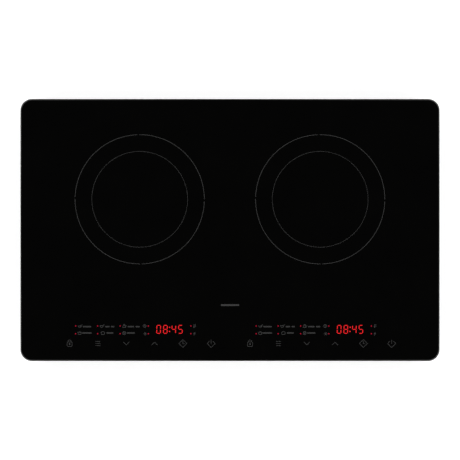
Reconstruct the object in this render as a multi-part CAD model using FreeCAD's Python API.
"""Tabletop induction cooktop with two cooking zones.

Frame: millimetres, +Z up, +Y towards the back, origin under the middle of the
glass on the surface that the feet stand on.  The two power units are the same
assembly, built once about its own zone and moved to each zone's centre.
"""

import FreeCAD
import Part
import math
import os
from FreeCAD import Vector

# ---------------------------------------------------------------- driving dimensions
GLASS_W = 590.0
GLASS_D = 369.0
GLASS_T = 4.0
GLASS_R = 16.0
OVERALL_H = 64.0
ZONE_X = 127.0
ZONE_Y = 43.2
SIDES = {"left": -ZONE_X, "right": ZONE_X}

GLASS_Z = OVERALL_H - GLASS_T
SEAL_T = 0.8
FRAME_TOP = GLASS_Z - SEAL_T
OVERHANG = 4.0
WALL = 2.5
SPLIT_Z = 44.0
FOOT_H = 8.0
FLOOR_TOP = FOOT_H + WALL
TRAY_INSET = 2.0
TRAY_TAPER = 5.0
TRAY_R = 13.0
LEDGE_T = 2.5
LEDGE_SIDE = 24.0
LEDGE_BACK = 24.0
LEDGE_FRONT = 9.5
LEDGE_R = 6.0
FIT = 0.05

FRAME_HX = GLASS_W / 2 - OVERHANG
FRAME_HY = GLASS_D / 2 - OVERHANG
TRAY_HX = FRAME_HX - TRAY_INSET
TRAY_HY = FRAME_HY - TRAY_INSET
LEDGE_Z = FRAME_TOP - LEDGE_T

HOUSING_POSTS = [
    (-268, -157), (268, -157), (-268, 162), (268, 162), (0, -163),
    (-90, 163), (90, 163), (-272, 0), (272, 0),
]
HOUSING_SHANK_R = 1.9
HOUSING_HEAD_R = 3.8
HOUSING_HEAD_Z = 30.0
FEET = [(sx * 240, sy * 135) for sx in (-1, 1) for sy in (-1, 1)]
FOOT_R = 12.0

SCREW_R = 1.45
SCREW_HEAD_R = 2.6
SCREW_HEAD_H = 2.0

# fan, about its own axis at FAN_U from the zone's centre
FAN_U = -29.0
FAN_Y = -80.0
FAN_SIDE = 92.0
FAN_H = 25.0
FAN_Z = FLOOR_TOP + 2.0
FAN_BORE = 43.5
FAN_HOLE = 41.25
FAN_TIP = 42.5
HUB_R = 17.5
BLADES = 7
SHAFT_R = 1.5

# power board
BOARD_U = 60.0
BOARD_Y0 = -30.0
BOARD_Y1 = 152.0
BOARD_Z = 18.0
BOARD_T = 1.6
BOARD_TOP = BOARD_Z + BOARD_T
BOARD_HOLES = [(su * 55, y) for su in (-1, 1) for y in (-25, 67, 147)]

# coil and its carrier
COIL_IN = 22.0
COIL_PITCH = 3.0
COIL_TURNS = 21
COIL_WIRE_R = 1.3
CARRIER_R = 90.0
CARRIER_Z = 52.8
CARRIER_T = 2.6
COIL_Z = CARRIER_Z + CARRIER_T + COIL_WIRE_R + FIT
RIM_TOP = 58.4
POST_OFFSET = 68.0
CARRIER_POSTS = [(su * POST_OFFSET, ZONE_Y + sy * POST_OFFSET) for su in (-1, 1) for sy in (-1, 1)]
TAB_T = 3.0
TAB_Z = CARRIER_Z - TAB_T
FERRITES = 8
FERRITE_L = 48.0
FERRITE_W = 12.0
FERRITE_T = 5.0
FERRITE_R0 = 32.0

# touch panel, positions from the zone's centre
PANEL_U0 = -108.0
PANEL_U1 = 110.0
PANEL_Y0 = -167.0
PANEL_Y1 = -128.0
PANEL_Z = 50.0
PANEL_TOP = PANEL_Z + BOARD_T
HOLDER_T = 2.0
HOLDER_Z = PANEL_Z - 3.2
KEY_Y = -159.7
KEY_U0 = -98.7
KEY_PITCH = 39.84
KEYS = 6
LED_ROWS = (-135.1, -146.0)
LED_COLUMNS = (-90.2, -59.3, -27.6, 12.1, 71.9)
DISPLAY_U = 41.6
DISPLAY_Y = -139.8
DISPLAY_W = 42.0
DISPLAY_D = 18.0
DIGIT_U = (-15.0, -5.6, 6.3, 15.6)
COLON_U = 0.4
DIGIT_W = 6.4
DIGIT_H = 12.2
SEGMENT_W = 1.4
HOLDER_LEGS = [(-100, -130.5), (100, -130.5)]
HOLDER_BOSSES = [(-70, -173), (0, -173), (75, -173)]

# shallow recess for the rating plate, under the middle of the tray
LABEL_HX = 36.0
LABEL_HY = 22.0
LABEL_Y = 10.0

# cord entry
GLAND_Z = 26.0
GLAND_BORE = 3.6
GLAND_SEAT = 6.5
PLATE_HX = 18.0
PLATE_Z0 = 14.0
PLATE_GAP = 0.1
PAD_OUT = 178.2
PAD_IN = 170.0
CLAMP_POSTS = [(-12, 151), (12, 151)]
CLAMP_Z = 30.0


# ---------------------------------------------------------------- shape helpers
def box(x0, x1, y0, y1, z0, z1):
    return Part.makeBox(x1 - x0, y1 - y0, z1 - z0, Vector(x0, y0, z0))


def rod(x, y, z0, z1, r):
    return Part.makeCylinder(r, z1 - z0, Vector(x, y, z0))


def cone(x, y, z0, z1, r0, r1):
    return Part.makeCone(r0, r1, z1 - z0, Vector(x, y, z0))


def tube(x, y, z0, z1, outer, inner):
    return rod(x, y, z0, z1, outer).cut(rod(x, y, z0 - 1, z1 + 1, inner))


def fuse(shapes):
    return shapes[0].multiFuse(shapes[1:]).removeSplitter() if len(shapes) > 1 else shapes[0]


def spun(shape, x, y, degrees):
    """A copy turned about the vertical line through (x, y)."""
    turned = shape.copy()
    turned.rotate(Vector(x, y, 0), Vector(0, 0, 1), degrees)
    return turned


def rounded_wire(hx, hy, r, z, y_mid=0.0):
    """A closed rectangle with round corners, half sizes hx and hy."""
    bend = r * (1 - math.sqrt(0.5))
    edges = []
    for sx, sy in ((1, -1), (1, 1), (-1, 1), (-1, -1)):
        on_x = Vector(sx * (hx - r), y_mid + sy * hy, z)
        middle = Vector(sx * (hx - bend), y_mid + sy * (hy - bend), z)
        on_y = Vector(sx * hx, y_mid + sy * (hy - r), z)
        ends = (on_x, on_y) if sx * sy < 0 else (on_y, on_x)
        if edges:
            edges.append(Part.LineSegment(last, ends[0]).toShape())
        else:
            first = ends[0]
        edges.append(Part.Arc(ends[0], middle, ends[1]).toShape())
        last = ends[1]
    edges.append(Part.LineSegment(last, first).toShape())
    return Part.Wire(edges)


def slab(hx, hy, r, z0, z1, y_mid=0.0):
    """A plate with round corners."""
    face = Part.Face(rounded_wire(hx, hy, r, z0, y_mid))
    return face.extrude(Vector(0, 0, z1 - z0))


def edges_at(shape, z):
    """The edges that lie wholly at one height."""
    return [e for e in shape.Edges if abs(e.BoundBox.ZMin - z) < 1e-4 and abs(e.BoundBox.ZMax - z) < 1e-4]


def edges_along_y(shape):
    """The straight edges that run front to back."""
    return [e for e in shape.Edges if e.BoundBox.XLength < 1e-4 and e.BoundBox.ZLength < 1e-4]


def tangent_path(points):
    """Straight runs joined by tangent arcs as large as their runs allow."""
    route = [Vector(*p) for p in points]
    edges = []
    at = route[0]
    for before, corner, after in zip(route, route[1:], route[2:]):
        back = (before - corner).normalize()
        ahead = (after - corner).normalize()
        shorter = min((before - corner).Length, (after - corner).Length)
        reach = 0.45 * shorter
        half_turn = (math.pi - back.getAngle(ahead)) / 2
        radius = reach / math.tan(half_turn)
        start = corner + back * reach
        end = corner + ahead * reach
        inward = (back + ahead).normalize()
        middle = corner + inward * (radius / math.cos(half_turn) - radius)
        edges.append(Part.LineSegment(at, start).toShape())
        edges.append(Part.Arc(start, middle, end).toShape())
        at = end
    edges.append(Part.LineSegment(at, route[-1]).toShape())
    return Part.Wire(edges)


def swept_tube(points, r):
    path = tangent_path(points)
    start = Vector(*points[0])
    heading = Vector(*points[1]) - start
    profile = Part.Wire(Part.Circle(start, heading, r).toShape())
    return path.makePipeShell([profile], True, False)


def slot_along_y(x, z0, z1, width, y0, y1):
    """A vertical slot with round ends that runs through a wall along Y."""
    r = width / 2
    middle = box(x - r, x + r, y0, y1, z0 + r, z1 - r)
    ends = [Part.makeCylinder(r, y1 - y0, Vector(x, y0, z), Vector(0, 1, 0)) for z in (z0 + r, z1 - r)]
    return fuse([middle, *ends])


def slot_along_x(y, z0, z1, width, x0, x1):
    """The same slot, through a side wall along X."""
    return spun(slot_along_y(-y, z0, z1, width, x0, x1), 0, 0, -90)


def screw(x, y, z_head, length, shank_r=SCREW_R, head_r=SCREW_HEAD_R, head_h=SCREW_HEAD_H, up=False):
    """A pan-head screw with a cross recess. Its head sits at z_head and its shank runs down, or up."""
    head = rod(0, 0, 0, head_h, head_r)
    head = head.makeFillet(head_h * 0.45, edges_at(head, head_h))
    shank = rod(0, 0, -length + shank_r, 0, shank_r)
    point = cone(0, 0, -length, -length + shank_r, shank_r * 0.3, shank_r)
    arm = head_r * 0.55
    slit = head_r * 0.13
    deep = head_h * 0.55
    cross = fuse([
        box(-arm, arm, -slit, slit, head_h - deep, head_h + 1),
        box(-slit, slit, -arm, arm, head_h - deep, head_h + 1),
    ])
    made = fuse([head, shank, point]).cut(cross)
    if up:
        made.rotate(Vector(0, 0, 0), Vector(1, 0, 0), 180)
    made.translate(Vector(x, y, z_head))
    return made


def at_zone(shape, side):
    moved = shape.copy()
    moved.translate(Vector(SIDES[side], 0, 0))
    return moved


def save(name, *shapes):
    """Writes one node. Several shapes stay separate solids in it."""
    solids = [s for shape in shapes for s in shape.Solids]
    whole = solids[0] if len(solids) == 1 else Part.makeCompound(solids)
    if not whole.isValid() or min(s.Volume for s in solids) <= 0:
        raise ValueError(name + " is not a valid solid")
    whole.exportStep(os.path.join("parts", name + ".step"))
    print(f"{name:32s} {len(solids):3d} solids {whole.Volume / 1000:9.2f} cm3")


# ---------------------------------------------------------------- outer shells
def glass_top():
    """Glass-ceramic plate with a rounded top edge and a small arris below."""
    plate = slab(GLASS_W / 2, GLASS_D / 2, GLASS_R, GLASS_Z, OVERALL_H)
    plate = plate.makeFillet(1.6, edges_at(plate, OVERALL_H))
    return plate.makeChamfer(0.5, edges_at(plate, GLASS_Z))


def glass_seal():
    """Silicone bead between the glass and the upper frame's ledge."""
    outer = slab(FRAME_HX - 3, FRAME_HY - 3, TRAY_R - 2, FRAME_TOP, GLASS_Z)
    return outer.cut(slab(FRAME_HX - 8, FRAME_HY - 8, TRAY_R - 5, FRAME_TOP - 1, GLASS_Z + 1))


def ledge_opening(z0, z1):
    hy = FRAME_HY - (LEDGE_FRONT + WALL + LEDGE_BACK + WALL) / 2
    y_mid = (LEDGE_FRONT - LEDGE_BACK) / 2
    return slab(FRAME_HX - WALL - LEDGE_SIDE, hy, LEDGE_R, z0, z1, y_mid)


def upper_frame():
    """Skirt and ledge that carry the glass, with bosses for the housing and panel screws."""
    shell = slab(FRAME_HX, FRAME_HY, TRAY_R + 2, SPLIT_Z, FRAME_TOP)
    shell = shell.makeChamfer(0.8, edges_at(shell, SPLIT_Z))
    shell = shell.cut(slab(FRAME_HX - WALL, FRAME_HY - WALL, TRAY_R - 0.5, SPLIT_Z - 1, LEDGE_Z))
    shell = shell.cut(ledge_opening(LEDGE_Z - 1, FRAME_TOP + 1))
    front_lug = fuse([
        box(-8, 8, -FRAME_HY + 1, -163, LEDGE_Z, FRAME_TOP),
        rod(0, -163, LEDGE_Z, FRAME_TOP, 8),
    ])
    bosses = [rod(x, y, SPLIT_Z + 0.2, LEDGE_Z + 0.5, 4.5) for x, y in HOUSING_POSTS]
    holes = [rod(x, y, SPLIT_Z, LEDGE_Z - 0.5, HOUSING_SHANK_R + FIT) for x, y in HOUSING_POSTS]
    for cx in SIDES.values():
        bosses += [rod(cx + u, y, PANEL_Z - 1.2, LEDGE_Z + 0.5, 3.0) for u, y in HOLDER_BOSSES]
        holes += [rod(cx + u, y, PANEL_Z - 2, LEDGE_Z, SCREW_R + FIT) for u, y in HOLDER_BOSSES]
    return fuse([shell, front_lug, *bosses]).cut(fuse(holes))


def intake_slots(cx):
    """Concentric intake slots under a fan, broken by spokes."""
    x = cx + FAN_U
    rings = [tube(x, FAN_Y, FOOT_H - 1, FLOOR_TOP + 1, r + 3, r) for r in range(10, 41, 6)]
    spokes = [spun(box(x, x + 45, FAN_Y - 1.5, FAN_Y + 1.5, 0, 20), x, FAN_Y, a * 45) for a in range(8)]
    return fuse(rings).cut(fuse(spokes))


def vent_slots():
    """Exhaust louvres in the back and side walls."""
    slots = []
    for cx in SIDES.values():
        for i in range(20):
            x = cx - 57 + i * 6
            if abs(abs(x) - 90) > 6.5:
                slots.append(slot_along_y(x, 18, 36, 3, TRAY_HY - 12, TRAY_HY + 4))
    for side in (-1, 1):
        for i in range(18):
            y = -68 + i * 8
            if abs(y) > 7:
                x0, x1 = sorted((side * (TRAY_HX - 12), side * (TRAY_HX + 4)))
                slots.append(slot_along_x(y, 18, 36, 3, x0, x1))
    return slots


def tray_shell():
    """The tapered tub: outer skin, cavity and aligning lip."""
    bottom_hx = TRAY_HX - TRAY_TAPER
    bottom_hy = TRAY_HY - TRAY_TAPER
    outer = Part.makeLoft([
        rounded_wire(bottom_hx, bottom_hy, TRAY_R - 3, FOOT_H),
        rounded_wire(TRAY_HX, TRAY_HY, TRAY_R, SPLIT_Z),
    ], True, True)
    outer = outer.makeFillet(5, edges_at(outer, FOOT_H))
    lip = slab(TRAY_HX - 0.8, TRAY_HY - 0.8, TRAY_R - 0.8, SPLIT_Z - 1, SPLIT_Z + 2)
    floor_hx = bottom_hx - WALL + 0.35
    floor_hy = bottom_hy - WALL + 0.35
    cavity = Part.makeLoft([
        rounded_wire(floor_hx, floor_hy, TRAY_R - 5, FLOOR_TOP),
        rounded_wire(TRAY_HX - WALL, TRAY_HY - WALL, TRAY_R - WALL, SPLIT_Z + 3),
    ], True, True)
    cavity = cavity.makeFillet(2.5, edges_at(cavity, FLOOR_TOP))
    return fuse([outer, lip]).cut(cavity)


def tray_fittings():
    """Posts, pads, ribs and collars that stand on the tray's floor."""
    base = FLOOR_TOP - 1
    made = [rod(x, y, base, SPLIT_Z + 0.2, 5) for x, y in HOUSING_POSTS]
    made += [rod(x, y, base, CLAMP_Z, 4) for x, y in CLAMP_POSTS]
    made += [tube(x, y, base, FLOOR_TOP + 2, 6.5, 4.5) for x, y in FEET]
    for cx in SIDES.values():
        made += [rod(cx + u, y, base, BOARD_Z, 3.5) for u, y in BOARD_HOLES]
        made += [rod(cx + u, y, base, TAB_Z, 4) for u, y in CARRIER_POSTS]
        fx = cx + FAN_U
        made.append(tube(fx, FAN_Y, base, FAN_Z, FAN_BORE + 2, FAN_BORE))
        made += [
            rod(fx + sx * FAN_HOLE, FAN_Y + sy * FAN_HOLE, base, FAN_Z, 4.5)
            for sx in (-1, 1) for sy in (-1, 1)
        ]
        made += [box(cx + u - 0.8, cx + u + 0.8, BOARD_Y0, 160, base, FLOOR_TOP + 3) for u in (-30, 0, 30)]
        made += [box(cx - 70, cx + 70, y - 0.8, y + 0.8, base, FLOOR_TOP + 3) for y in (10, 60, 111.2)]
    return made


def tray_holes():
    """Screw holes, recesses and the notch for the cord plate."""
    holes = []
    for x, y in HOUSING_POSTS:
        holes.append(rod(x, y, FOOT_H - 1, HOUSING_HEAD_Z, HOUSING_HEAD_R + 0.3))
        holes.append(rod(x, y, FOOT_H, SPLIT_Z + 1, HOUSING_SHANK_R + 0.2))
    holes += [rod(x, y, FOOT_H - 1, FLOOR_TOP + 3, 3.5) for x, y in FEET]
    holes += [rod(x, y, CLAMP_Z - 9, CLAMP_Z + 1, SCREW_R + FIT) for x, y in CLAMP_POSTS]
    for cx in SIDES.values():
        holes += [rod(cx + u, y, BOARD_Z - 6.5, BOARD_Z + 1, SCREW_R + FIT) for u, y in BOARD_HOLES]
        holes += [rod(cx + u, y, TAB_Z - 9, TAB_Z + 1, SCREW_R + FIT) for u, y in CARRIER_POSTS]
        fx = cx + FAN_U
        holes += [
            rod(fx + sx * FAN_HOLE, FAN_Y + sy * FAN_HOLE, FOOT_H + 1, FAN_Z + 1, SCREW_R + FIT)
            for sx in (-1, 1) for sy in (-1, 1)
        ]
        holes.append(intake_slots(cx))
    notch = PLATE_HX + PLATE_GAP
    holes.append(box(-notch, notch, PAD_IN - 5, PAD_OUT + 5, PLATE_Z0 - PLATE_GAP, SPLIT_Z + 3))
    holes.append(slab(LABEL_HX, LABEL_HY, 3, FOOT_H - 1, FOOT_H + 0.4, LABEL_Y))
    return holes


def base_tray():
    tray = fuse([tray_shell(), *tray_fittings()])
    return tray.cut(Part.makeCompound(tray_holes() + vent_slots()))


def rubber_foot(x, y):
    body = cone(x, y, 0, FOOT_H, FOOT_R - 1.5, FOOT_R)
    body = body.makeFillet(1.2, edges_at(body, 0))
    stem = rod(x, y, FOOT_H - 0.5, FLOOR_TOP + 1, 3.5)
    barb = cone(x, y, FLOOR_TOP + 2, FLOOR_TOP + 3.5, 4.2, 3.0)
    neck = rod(x, y, FLOOR_TOP + 1, FLOOR_TOP + 2.5, 3.0)
    return fuse([body, stem, neck, barb])


# ---------------------------------------------------------------- cord entry and mains
def along_y(r0, r1, y0, y1, x=0.0, z=GLAND_Z):
    if abs(r0 - r1) < 1e-9:
        return Part.makeCylinder(r0, y1 - y0, Vector(x, y0, z), Vector(0, 1, 0))
    return Part.makeCone(r0, r1, y1 - y0, Vector(x, y0, z), Vector(0, 1, 0))


def cord_plate():
    """Thick plate that slides into the back wall's notch, and holds the gland."""
    plate = box(-PLATE_HX, PLATE_HX, PAD_IN, PAD_OUT, PLATE_Z0, SPLIT_Z - PLATE_GAP)
    plate = plate.makeFillet(1.5, edges_along_y(plate))
    return plate.cut(along_y(GLAND_SEAT, GLAND_SEAT, PAD_IN - 1, PAD_OUT + 1))


def cord_gland():
    """Flanged bush in the cord plate, with a clear bore for a 7 mm cord."""
    body = along_y(GLAND_SEAT, GLAND_SEAT, PAD_IN - 1, PAD_OUT)
    flange = along_y(9.5, 9.5, PAD_OUT, PAD_OUT + 2)
    nose = along_y(8.0, 5.6, PAD_OUT + 2, GLASS_D / 2 - 0.5)
    collar = along_y(7.6, 7.0, PAD_IN - 2.6, PAD_IN)
    bore = along_y(GLAND_BORE, GLAND_BORE, PAD_IN - 5, GLASS_D / 2 + 1)
    return fuse([body, flange, nose, collar]).cut(bore)


def cord_clamp():
    """Bar that two screws press down on the cord, ribbed below."""
    bar = box(-17, 17, 147, 155, CLAMP_Z, CLAMP_Z + 3.5)
    bar = bar.makeFillet(1.2, edges_at(bar, CLAMP_Z + 3.5))
    holes = [rod(x, y, CLAMP_Z - 1, CLAMP_Z + 5, SCREW_R + 0.15) for x, y in CLAMP_POSTS]
    return bar.cut(fuse(holes))


def terminal_block():
    """Three-way mains terminal block."""
    body = box(-20, 20, 116, 138, FLOOR_TOP, 28)
    body = body.makeChamfer(1.0, edges_at(body, 28))
    cuts = []
    for x in (-12, 0, 12):
        cuts.append(rod(x, 121, 20, 29, 3.2))
        cuts.append(rod(x, 133, 20, 29, 3.2))
        cuts.append(box(x - 3.5, x + 3.5, 127 - 1, 127 + 1, 24, 29))
    screws = []
    for x in (-12, 0, 12):
        for y in (121, 133):
            slit = box(x - 3, x + 3, y - 0.4, y + 0.4, 22.4, 24)
            screws.append(rod(x, y, 20.1, 23.2, 2.9).cut(slit))
    return [body.cut(fuse(cuts)), *screws]


def mains_wires():
    """Live and neutral from the terminal block over to each power board's tabs."""
    wires = []
    for offset in (-2.5, 2.5):
        y = 146 + offset
        start_y = 130 + offset
        wires.append(swept_tube([
            (20, start_y, 20), (28, start_y, 20), (35, 135 + offset, 27), (44, 142 + offset, 38),
            (57, y, 44), (70, y, 44), (79, y, 38), (81, y, 33), (81, y, 27.6),
        ], 1.3))
        wires.append(swept_tube([
            (-20, start_y, 20), (-28, start_y, 20), (-35, 135 + offset, 27), (-44, 142 + offset, 38),
            (-60, y, 44.5), (-88, y + 1, 45), (-118, y, 46), (-146, y + 1, 45), (-163, y, 42),
            (-172, y, 37), (-173, y, 32), (-173, y, 27.6),
        ], 1.3))
    return wires


# ---------------------------------------------------------------- coil assembly
def carrier_arms():
    """Four tabs that reach out to the tray's posts."""
    arms = []
    reach = POST_OFFSET * math.sqrt(2)
    for k in range(4):
        arm = fuse([box(78, reach, -7, 7, TAB_Z, CARRIER_Z + 0.2), rod(reach, 0, TAB_Z, CARRIER_Z + 0.2, 7)])
        arms.append(spun(arm, 0, 0, 45 + 90 * k))
    return arms


def coil_carrier():
    """Moulded plate that holds the coil above and the ferrite bars below."""
    top = CARRIER_Z + CARRIER_T
    disc = rod(0, 0, CARRIER_Z, top, CARRIER_R)
    rims = [tube(0, 0, top - 0.5, RIM_TOP, CARRIER_R, CARRIER_R - 2), tube(0, 0, top - 0.5, RIM_TOP, 19, 17)]
    pockets = []
    bays = []
    windows = []
    for k in range(FERRITES):
        angle = 22.5 + 45 * k
        wide = FERRITE_W / 2
        outer_end = FERRITE_R0 + FERRITE_L
        shell = box(FERRITE_R0 - 2, outer_end + 2, -wide - 1.8, wide + 1.8, CARRIER_Z - 5.3, CARRIER_Z + 0.2)
        bay = box(FERRITE_R0 - 0.2, outer_end + 0.2, -wide - 0.2, wide + 0.2, CARRIER_Z - 6, CARRIER_Z)
        pockets.append(spun(shell, 0, 0, angle))
        bays.append(spun(bay, 0, 0, angle))
        window = box(46, 76, -5, 5, CARRIER_Z - 1, top + 1)
        windows.append(spun(window, 0, 0, 45 * k))
    lead_holes = [
        fuse([rod(85, 9.5, CARRIER_Z - 1, top + 1, 2.4), box(82.6, 87.4, 2, 9.5, CARRIER_Z - 1, top + 1)]),
        fuse([rod(22, -8, CARRIER_Z - 1, top + 1, 2.2), box(19.8, 24.2, -8, -1, CARRIER_Z - 1, top + 1)]),
    ]
    screw_holes = [rod(u, y - ZONE_Y, TAB_Z - 1, CARRIER_Z + 1, SCREW_R + 0.15) for u, y in CARRIER_POSTS]
    centre_hole = [rod(0, 0, CARRIER_Z - 1, top + 1, 3.2)]
    head_room = [rod(u, y - ZONE_Y, CARRIER_Z + 0.1, RIM_TOP + 1, SCREW_HEAD_R + 0.4) for u, y in CARRIER_POSTS]
    body = fuse([disc, *rims, *pockets, *carrier_arms()])
    body = body.cut(fuse(bays)).cut(fuse(windows))
    body = body.cut(fuse(lead_holes + screw_holes + centre_hole + head_room))
    body.translate(Vector(0, ZONE_Y, 0))
    return body


def induction_coil():
    """Flat spiral of stranded wire: half turns whose centres alternate, so that each is tangent to the next."""
    edges = []
    for k in range(COIL_TURNS):
        a = COIL_IN + k * COIL_PITCH
        b = a + COIL_PITCH / 2
        middle = COIL_PITCH / 2
        edges.append(Part.Arc(Vector(a, 0, 0), Vector(0, a, 0), Vector(-a, 0, 0)).toShape())
        edges.append(Part.Arc(Vector(-a, 0, 0), Vector(middle, -b, 0), Vector(a + COIL_PITCH, 0, 0)).toShape())
    profile = Part.Wire(Part.Circle(Vector(COIL_IN, 0, 0), Vector(0, 1, 0), COIL_WIRE_R).toShape())
    coil = Part.Wire(edges).makePipeShell([profile], True, True)
    coil.translate(Vector(0, ZONE_Y, COIL_Z))
    return coil


def ferrite_bars():
    bars = []
    for k in range(FERRITES):
        bar = box(FERRITE_R0, FERRITE_R0 + FERRITE_L, -FERRITE_W / 2, FERRITE_W / 2,
                  CARRIER_Z - FERRITE_T, CARRIER_Z)
        bar = spun(bar, 0, 0, 22.5 + 45 * k)
        bar.translate(Vector(0, ZONE_Y, 0))
        bars.append(bar)
    return bars


def mica_sheet():
    sheet = tube(0, ZONE_Y, RIM_TOP, RIM_TOP + 0.5, CARRIER_R - 1, 9)
    notch = rod(CARRIER_R + 1, ZONE_Y, RIM_TOP - 1, RIM_TOP + 2, 6)
    return sheet.cut(notch)


def temperature_sensor():
    """Silicone cap that presses the thermistor on the underside of the glass."""
    top = CARRIER_Z + CARRIER_T
    cap = fuse([cone(0, ZONE_Y, top, GLASS_Z - 1, 7.5, 6), rod(0, ZONE_Y, GLASS_Z - 1, GLASS_Z, 5)])
    stem = rod(0, ZONE_Y, CARRIER_Z - 2.5, top + 1, 3.0)
    button = rod(0, ZONE_Y, CARRIER_Z - 3.5, CARRIER_Z - 1, 2.0)
    return fuse([cap, stem, button])


def coil_leads():
    """The coil's two ends, led down past the board's edge to its brass terminals."""
    outer = COIL_IN + COIL_TURNS * COIL_PITCH
    y = ZONE_Y
    outer_lead = swept_tube([
        (outer, y, COIL_Z), (outer, y + 5, COIL_Z), (outer, y + 9, 52), (outer, y + 10, 44),
        (85.5, y + 18, 38), (84, y + 40, 34.5), (81, y + 60, 32), (72, 118, 31), (64, 120, 31), (56, 120, 31),
    ], COIL_WIRE_R)
    inner_lead = swept_tube([
        (COIL_IN, y, COIL_Z), (COIL_IN, y - 3, COIL_Z), (COIL_IN, y - 7, 52.4), (23.5, y - 9, 45.4),
        (36, y - 10, 44.6), (56, y - 8, 43.4), (72, y + 2, 38), (84, y + 20, 31.5), (89, y + 42, 28.6),
        (87, y + 66, 27.4), (78, 132, 27), (67, 138, 27), (56, 138, 27),
    ], COIL_WIRE_R)
    return [outer_lead, inner_lead]


# ---------------------------------------------------------------- power board and its parts
def power_board():
    """Board with mounting holes, small parts, the mains tabs and the ribbon's socket."""
    board = box(-BOARD_U, BOARD_U, BOARD_Y0, BOARD_Y1, BOARD_Z, BOARD_TOP)
    holes = [rod(u, y, BOARD_Z - 1, BOARD_TOP + 1, SCREW_R + 0.15) for u, y in BOARD_HOLES]
    parts = [board.cut(fuse(holes))]
    parts.append(box(-38, -20, 92, 102, BOARD_TOP, BOARD_TOP + 1.8))
    parts.append(box(-8, 2, 88, 94, BOARD_TOP, BOARD_TOP + 1.6))
    parts += [box(-50 + i * 6, -47 + i * 6, 112, 113.6, BOARD_TOP, BOARD_TOP + 0.7) for i in range(6)]
    parts += [box(10 + i * 6, 13 + i * 6, 146, 147.6, BOARD_TOP, BOARD_TOP + 0.7) for i in range(5)]
    socket = box(34, 50, -29, -22, BOARD_TOP, BOARD_TOP + 8)
    parts.append(socket.cut(box(35.5, 48.5, -27.5, -23.5, BOARD_TOP + 5, BOARD_TOP + 9)))
    parts += [box(-49, -43, y - 2, y + 2, BOARD_TOP, BOARD_TOP + 8) for y in (143.5, 148.5)]
    glass_fuse = Part.makeCylinder(2.6, 20, Vector(-34, 132, BOARD_TOP + 3.4), Vector(1, 0, 0))
    parts.append(glass_fuse)
    parts += [box(x, x + 2, 129, 135, BOARD_TOP, BOARD_TOP + 3.4) for x in (-33, -17)]
    parts.append(rod(2, 134, BOARD_TOP, BOARD_TOP + 6.5, 4.6))
    return fuse(parts)


def heatsink():
    """Extruded heatsink on four feet, fins along the air stream."""
    u0, u1, y0, y1 = -57.0, -3.0, -26.0, 62.0
    base_z, base_t, top = 26.0, 3.5, 43.2
    shapes = [box(u0, u1, y0, y1, base_z, base_z + base_t)]
    fins = 12
    fin_t = 1.3
    step = (u1 - u0 - fin_t) / (fins - 1)
    shapes += [box(u0 + i * step, u0 + i * step + fin_t, y0, y1, base_z + 1, top) for i in range(fins)]
    shapes += [
        box(u, u + 5, y, y + 5, BOARD_TOP, base_z + 1)
        for u in (u0 + 7, u1 - 5) for y in (y0 + 6, y1 - 7)
    ]
    return fuse(shapes)


def power_devices():
    """The switching transistor and the bridge rectifier, clamped under the heatsink."""
    made = []
    for u, y, wide, deep, legs in ((-38, 0, 16, 20, 3), (-38, 34, 30, 20, 4)):
        body = box(u - wide / 2, u + wide / 2, y, y + deep, 21.2, 26.0)
        pitch = wide / (legs + 0.5)
        pins = []
        for i in range(legs):
            x = u + (i - (legs - 1) / 2) * pitch
            pins.append(box(x - 0.6, x + 0.6, y - 4, y + 1, 23, 23.8))
            pins.append(box(x - 0.6, x + 0.6, y - 4, y - 3.2, BOARD_TOP, 23.8))
        made.append(fuse([body, *pins]))
    return made


def film_capacitors():
    made = []
    for u0, u1, y0, y1, top in ((8, 50, -18, 2, 40.5), (8, 40, 8, 26, 38.5)):
        can = box(u0, u1, y0, y1, BOARD_TOP, top)
        uprights = [e for e in can.Edges if abs(e.BoundBox.ZLength - (top - BOARD_TOP)) < 1e-6]
        made.append(can.makeFillet(1.2, uprights))
    return made


def filter_choke():
    """Toroid with two windings, standing on a base ring."""
    u, y = 32.0, 50.0
    z = BOARD_TOP + 2 + 6.5
    core = Part.makeTorus(13, 4.6, Vector(u, y, z))
    turns = []
    for half in (0, 180):
        for i in range(9):
            angle = half + 22 + i * 17
            loop = Part.makeTorus(5.5, 0.8, Vector(u + 13, y, z), Vector(0, 1, 0))
            turns.append(spun(loop, u, y, angle))
    base = tube(u, y, BOARD_TOP, BOARD_TOP + 2.1, 16, 10)
    return [core, *turns, base]


def electrolytic_capacitors():
    made = []
    for u, y, r, tall in ((8, 74, 7, 18), (24, 78, 5, 13), (36, 76, 5, 13), (48, 84, 4, 11)):
        can = rod(u, y, BOARD_TOP, BOARD_TOP + tall, r)
        can = can.makeFillet(0.8, edges_at(can, BOARD_TOP + tall))
        groove = tube(u, y, BOARD_TOP + 2.5, BOARD_TOP + 3.3, r + 1, r - 0.5)
        made.append(can.cut(groove))
    return made


def coil_terminals():
    """Brass pillars with a screw on top, where the coil's leads are fastened."""
    made = []
    for y, top in ((120, 33.0), (138, 29.0)):
        pillar = rod(51.5, y, BOARD_TOP, top, 4.5)
        head = rod(51.5, y, top, top + 2, 3.6)
        slit = box(48, 55, y - 0.4, y + 0.4, top + 1, top + 3)
        made.append(fuse([pillar, head]).cut(slit))
    return made


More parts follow.
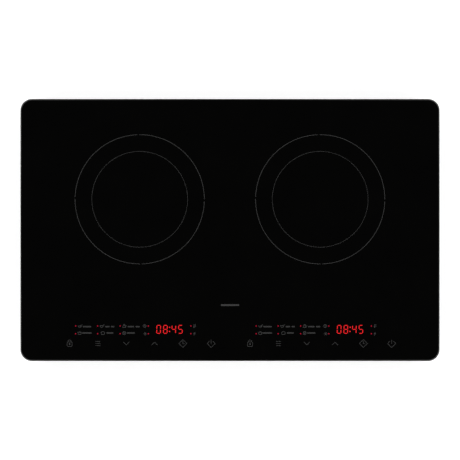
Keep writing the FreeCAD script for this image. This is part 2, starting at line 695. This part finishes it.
# ---------------------------------------------------------------- fan
def fan_frame():
    top = FAN_Z + FAN_H
    flange_t = 3.5
    flanges = [slab(FAN_SIDE / 2, FAN_SIDE / 2, 6, z, z + flange_t) for z in (FAN_Z, top - flange_t)]
    duct = rod(0, 0, FAN_Z, top, FAN_BORE + 2)
    shell = fuse([duct, *flanges]).cut(rod(0, 0, FAN_Z - 1, top + 1, FAN_BORE))
    holes = [
        rod(sx * FAN_HOLE, sy * FAN_HOLE, FAN_Z - 1, top + 1, SCREW_R + 0.2)
        for sx in (-1, 1) for sy in (-1, 1)
    ]
    base_top = FAN_Z + 2.5
    motor_base = rod(0, 0, FAN_Z, base_top, HUB_R - 1)
    struts = [
        spun(box(0, FAN_BORE + 0.5, -1.8, 1.8, FAN_Z, base_top), 0, 0, 30 + 90 * k) for k in range(4)
    ]
    sleeve_holder = tube(0, 0, base_top - 0.5, FAN_Z + 16.5, 5.2, 4.0)
    frame = fuse([shell, motor_base, *struts, sleeve_holder]).cut(fuse(holes))
    frame.translate(Vector(FAN_U, FAN_Y, 0))
    return frame


def fan_stator():
    """Laminated star with four windings, and the sleeve bearing inside the frame's tube."""
    z0, z1 = FAN_Z + 6, FAN_Z + 14
    arms = [spun(box(6, 11.5, -1.6, 1.6, z0, z1), 0, 0, 90 * k) for k in range(4)]
    shoe = tube(0, 0, z0, z1, 13.2, 11)
    gaps = [spun(box(8, 15, -1.2, 1.2, z0 - 1, z1 + 1), 0, 0, 45 + 90 * k) for k in range(4)]
    star = fuse([tube(0, 0, z0, z1, 7.2, 5.2), *arms, shoe]).cut(fuse(gaps))
    windings = []
    for k in range(4):
        block = box(7.4, 10.4, -2.9, 2.9, z0 - 1.4, z1 + 1.4).cut(box(7, 11, -1.7, 1.7, z0 - 0.1, z1 + 0.1))
        windings.append(spun(block, 0, 0, 90 * k))
    bearing = tube(0, 0, FAN_Z + 2.5, FAN_Z + 16.5, 4.0, SHAFT_R + 0.03)
    made = [star, *windings, bearing]
    for shape in made:
        shape.translate(Vector(FAN_U, FAN_Y, 0))
    return made


def fan_blade():
    """One twisted blade, steep at the hub and flat at the tip."""
    sections = []
    middle = FAN_Z + 13.5
    for r, chord, pitch in ((HUB_R - 0.9, 14.5, 50), (30.0, 19.0, 36), (FAN_TIP + 2, 24.0, 26)):
        half = chord / 2
        thick = 0.8
        slope = math.radians(pitch)
        along = Vector(0, math.cos(slope), math.sin(slope))
        across = Vector(0, -math.sin(slope), math.cos(slope))
        centre = Vector(r, 0, middle)
        corners = [
            centre + along * half + across * (thick * 0.4),
            centre + across * thick + along * (half * 0.1),
            centre - along * half + across * (thick * 0.4),
            centre - along * half - across * (thick * 0.4),
            centre - across * (thick * 0.2) + along * (half * 0.1),
            centre + along * half - across * (thick * 0.4),
        ]
        sections.append(Part.makePolygon(corners + corners[:1]))
    blade = Part.makeLoft(sections, True, True)
    return blade.common(rod(0, 0, 0, OVERALL_H, FAN_TIP))


def fan_rotor():
    cup_z0, cup_z1 = FAN_Z + 4.5, FAN_Z + 23.5
    cup = rod(0, 0, cup_z0, cup_z1, HUB_R)
    cup = cup.makeFillet(1.5, edges_at(cup, cup_z1))
    cup = cup.cut(rod(0, 0, cup_z0 - 1, cup_z1 - 2.5, HUB_R - 3))
    boss = rod(0, 0, cup_z1 - 5, cup_z1 - 1, 4)
    blade = fan_blade()
    blades = [spun(blade, 0, 0, k * 360 / BLADES) for k in range(BLADES)]
    bore = rod(0, 0, cup_z1 - 6, cup_z1 - 1, SHAFT_R)
    rotor = fuse([cup, boss, *blades]).cut(bore)
    rotor.translate(Vector(FAN_U, FAN_Y, 0))
    return rotor


def fan_shaft():
    return rod(FAN_U, FAN_Y, FAN_Z + 3.1, FAN_Z + 22.5, SHAFT_R)


def air_duct():
    """Hood over the fan that turns the air back through the heatsink's tunnel."""
    fan_top = FAN_Z + FAN_H
    roof = 44.6
    t = 1.5
    fx0, fx1 = FAN_U - FAN_SIDE / 2 - 1.5, FAN_U + FAN_SIDE / 2 + 1.5
    fy0, fy1 = FAN_Y - FAN_SIDE / 2 - 1.5, FAN_Y + FAN_SIDE / 2 + 1.5
    tx0, tx1, ty1 = -62.0, 2.0, 62.0
    hood = box(fx0, fx1, fy0, fy1, fan_top, roof + t)
    tunnel = box(tx0, tx1, fy1 - 2, ty1, 21.0, roof + t)
    hood_air = box(fx0 + t, fx1 - t, fy0 + t, fy1 - t, fan_top - 1, roof)
    tunnel_air = box(tx0 + t, tx1 - t, fy1 - t - 1, ty1 + 1, 20.0, roof)
    shell = fuse([hood, tunnel])
    shell = shell.makeFillet(1.4, edges_at(shell, roof + t))
    shell = shell.cut(fuse([hood_air, tunnel_air]))
    return shell.cut(box(fx0 - 1, fx1 + 1, fy0 - 1, fy1 - 0.01, 0, fan_top + 0.01))


# ---------------------------------------------------------------- touch panel
def control_board():
    """Panel board with its controller, small parts, buzzer and the ribbon's socket."""
    board = box(PANEL_U0, PANEL_U1, PANEL_Y0, PANEL_Y1, PANEL_Z, PANEL_TOP)
    holes = [rod(u, y, PANEL_Z - 1, PANEL_TOP + 1, SCREW_R + 0.15) for u, y in ((-103, -133), (105, -133))]
    parts = [board.cut(fuse(holes))]
    parts.append(box(84, 94, -148, -138, PANEL_TOP, PANEL_TOP + 1.6))
    parts.append(rod(-76, -140, PANEL_TOP, PANEL_TOP + 5, 4.5).cut(rod(-76, -140, PANEL_TOP + 3, PANEL_TOP + 6, 1)))
    parts += [box(u, u + 2, -153.4, -152.2, PANEL_TOP, PANEL_TOP + 0.6) for u in (-80, -40, 0, 78, 86)]
    parts.append(box(85, 99, -132.5, PANEL_Y1, PANEL_TOP, PANEL_TOP + 5))
    return fuse(parts)


def control_holder():
    """Tray under the panel board, hung from the frame's front bosses and standing on two legs."""
    u0, u1 = PANEL_U0 - 2, PANEL_U1 + 2
    y0, y1 = PANEL_Y0 - 2, PANEL_Y1 + 2
    floor_z = HOLDER_Z + HOLDER_T
    tray = box(u0, u1, y0, y1, HOLDER_Z, PANEL_Z + 1)
    tray = tray.cut(box(PANEL_U0 - 0.3, PANEL_U1 + 0.3, PANEL_Y0 - 0.3, PANEL_Y1 + 0.3, PANEL_Z, PANEL_Z + 2))
    tray = tray.cut(box(u0 + 5, u1 - 5, PANEL_Y0 + 3, PANEL_Y1 - 3, floor_z, PANEL_Z + 2))
    tabs = [
        fuse([box(u - 4.2, u + 4.2, y, y0 + 1, HOLDER_Z, floor_z), rod(u, y, HOLDER_Z, floor_z, 4.2)])
        for u, y in HOLDER_BOSSES
    ]
    legs = [rod(u, y, FLOOR_TOP, HOLDER_Z + 0.5, 4) for u, y in HOLDER_LEGS]
    leg_cores = [rod(u, y, FLOOR_TOP - 1, FLOOR_TOP + 12, SCREW_R + FIT) for u, y in HOLDER_LEGS]
    holes = [rod(u, y, HOLDER_Z - 1, floor_z + 1, SCREW_R + 0.15) for u, y in HOLDER_BOSSES]
    vents = [box(u, u + 14, -160, -140, HOLDER_Z - 1, floor_z + 1) for u in (-80, -52, -24, 4, 74)]
    return fuse([tray, *tabs, *legs]).cut(fuse(holes + leg_cores + vents))


def touch_spring(r, wire_r, z0, z1, turns):
    """A coil spring as half turns, each in a plane tilted to climb half the pitch, so that all are tangent."""
    climb = (z1 - z0) / (2 * turns)
    edges = []
    for k in range(2 * turns):
        z = z0 + k * climb
        side = 1 if k % 2 == 0 else -1
        ends = [Vector(side * r, 0, z), Vector(-side * r, 0, z + climb)]
        crown = math.hypot(r, climb / 2)
        edges.append(Part.Arc(ends[0], Vector(0, side * crown, z + climb / 2), ends[1]).toShape())
    profile = Part.Wire(Part.Circle(Vector(r, 0, z0), Vector(0, 1, 0), wire_r).toShape())
    return Part.Wire(edges).makePipeShell([profile], True, False)


def touch_springs():
    """A coil spring under each key, from the board up to the glass."""
    spring = touch_spring(3.2, 0.3, PANEL_TOP + 0.3, GLASS_Z - 0.3, 4)
    return [spring.translated(Vector(KEY_U0 + i * KEY_PITCH, KEY_Y, 0)) for i in range(KEYS)]


def segment(x, y, length, width, upright, z0, z1):
    """One display segment: a bar with pointed ends."""
    half, tip = length / 2, width / 2
    outline = [(-half, 0), (-half + tip, tip), (half - tip, tip), (half, 0), (half - tip, -tip), (-half + tip, -tip)]
    if upright:
        outline = [(b, a) for a, b in outline]
    corners = [Vector(x + a, y + b, z0) for a, b in outline]
    face = Part.Face(Part.makePolygon(corners + corners[:1]))
    return face.extrude(Vector(0, 0, z1 - z0))


def led_display():
    """Four-digit module: dark housing with a well over each segment, and the light bars in the wells."""
    top = GLASS_Z - 0.4
    housing = box(DISPLAY_U - DISPLAY_W / 2, DISPLAY_U + DISPLAY_W / 2,
                  DISPLAY_Y - DISPLAY_D / 2, DISPLAY_Y + DISPLAY_D / 2, PANEL_TOP, top)
    half_w, half_h = DIGIT_W / 2, DIGIT_H / 2
    length_x, length_y = DIGIT_W - SEGMENT_W * 0.9, half_h - SEGMENT_W * 0.9
    places = []
    for middle in DIGIT_U:
        places += [(DISPLAY_U + middle, DISPLAY_Y + k * half_h, length_x, False) for k in (-1, 0, 1)]
        places += [
            (DISPLAY_U + middle + sx * half_w, DISPLAY_Y + sy * half_h / 2, length_y, True)
            for sx in (-1, 1) for sy in (-1, 1)
        ]
    lamp_z, lamp_top = top - 1.4, top - 0.3
    bars = []
    wells = []
    for x, y, length, upright in places:
        bars.append(segment(x, y, length - 0.2, SEGMENT_W - 0.2, upright, lamp_z + 0.1, lamp_top))
        wells.append(segment(x, y, length, SEGMENT_W, upright, lamp_z, top + 1))
    for dy in (-3, 3):
        bars.append(rod(DISPLAY_U + COLON_U, DISPLAY_Y + dy, lamp_z + 0.1, lamp_top, 0.7))
        wells.append(rod(DISPLAY_U + COLON_U, DISPLAY_Y + dy, lamp_z, top + 1, 0.8))
    return [housing.cut(Part.makeCompound(wells)), *bars]


def indicator_leds():
    """Ten indicator lamps, each with a short light pipe to the glass."""
    made = []
    for u in LED_COLUMNS:
        for y in LED_ROWS:
            chip = box(u - 1.4, u + 1.4, y - 1.0, y + 1.0, PANEL_TOP, PANEL_TOP + 1.2)
            pipe = rod(u, y, PANEL_TOP + 1.2, GLASS_Z - 0.2, 0.9)
            made.append(fuse([chip, pipe]))
    return made


def control_ribbon():
    """Flat cable from the panel board's socket down to the power board's socket."""
    wide = 11.0
    thick = 1.2
    points = [
        (92, -128, 54), (92, -121, 54), (89, -113, 49), (79, -98, 42), (63, -76, 37),
        (50, -54, 35), (44, -38, 35), (42, -25.5, 34), (42, -25.5, 24.6),
    ]
    path = tangent_path(points)
    half, t = wide / 2, thick / 2
    start = Vector(*points[0])
    corners = [start + Vector(a, 0, b) for a, b in ((-half, -t), (half, -t), (half, t), (-half, t))]
    profile = Part.makePolygon(corners + corners[:1])
    return path.makePipeShell([profile], True, False)


# ---------------------------------------------------------------- screws
def inner_screws():
    """Clamp, board, carrier, panel and fan screws."""
    made = [screw(x, y, CLAMP_Z + 3.5, 11) for x, y in CLAMP_POSTS]
    for cx in SIDES.values():
        made += [screw(cx + u, y, BOARD_TOP, 7.5) for u, y in BOARD_HOLES]
        made += [screw(cx + u, y, CARRIER_Z + 0.2, 11) for u, y in CARRIER_POSTS]
        made += [screw(cx + u, y, HOLDER_Z, 7.5, up=True) for u, y in HOLDER_BOSSES]
        made += [
            screw(cx + FAN_U + sx * FAN_HOLE, FAN_Y + sy * FAN_HOLE, FAN_Z + FAN_H, 27.5)
            for sx in (-1, 1) for sy in (-1, 1)
        ]
    return made


def housing_screws():
    return [
        screw(x, y, HOUSING_HEAD_Z, 25.5, HOUSING_SHANK_R, HOUSING_HEAD_R, 2.8, up=True)
        for x, y in HOUSING_POSTS
    ]


# ---------------------------------------------------------------- assembly
def main():
    os.makedirs("parts", exist_ok=True)
    save("glass_top", glass_top())
    save("glass_seal", glass_seal())
    save("upper_frame", upper_frame())
    save("base_tray", base_tray())
    save("rubber_feet", *[rubber_foot(x, y) for x, y in FEET])
    save("housing_screws", *housing_screws())
    save("inner_screws", *inner_screws())
    save("cord_plate", cord_plate())
    save("cord_gland", cord_gland())
    save("cord_clamp", cord_clamp())
    save("terminal_block", *terminal_block())
    save("mains_wires", *mains_wires())
    units = {
        "coil_carrier": [coil_carrier()],
        "induction_coil": [induction_coil()],
        "ferrite_bars": ferrite_bars(),
        "mica_sheet": [mica_sheet()],
        "temperature_sensor": [temperature_sensor()],
        "coil_leads": coil_leads(),
        "power_board": [power_board()],
        "heatsink": [heatsink()],
        "power_devices": power_devices(),
        "film_capacitors": film_capacitors(),
        "filter_choke": filter_choke(),
        "electrolytic_capacitors": electrolytic_capacitors(),
        "coil_terminals": coil_terminals(),
        "fan_frame": [fan_frame()],
        "fan_stator": fan_stator(),
        "fan_rotor": [fan_rotor()],
        "fan_shaft": [fan_shaft()],
        "air_duct": [air_duct()],
        "control_board": [control_board()],
        "control_holder": [control_holder()],
        "touch_springs": touch_springs(),
        "led_display": led_display(),
        "indicator_leds": indicator_leds(),
        "control_ribbon": [control_ribbon()],
    }
    for side in SIDES:
        for name, shapes in units.items():
            save(f"{side}_{name}", *[at_zone(shape, side) for shape in shapes])


main()
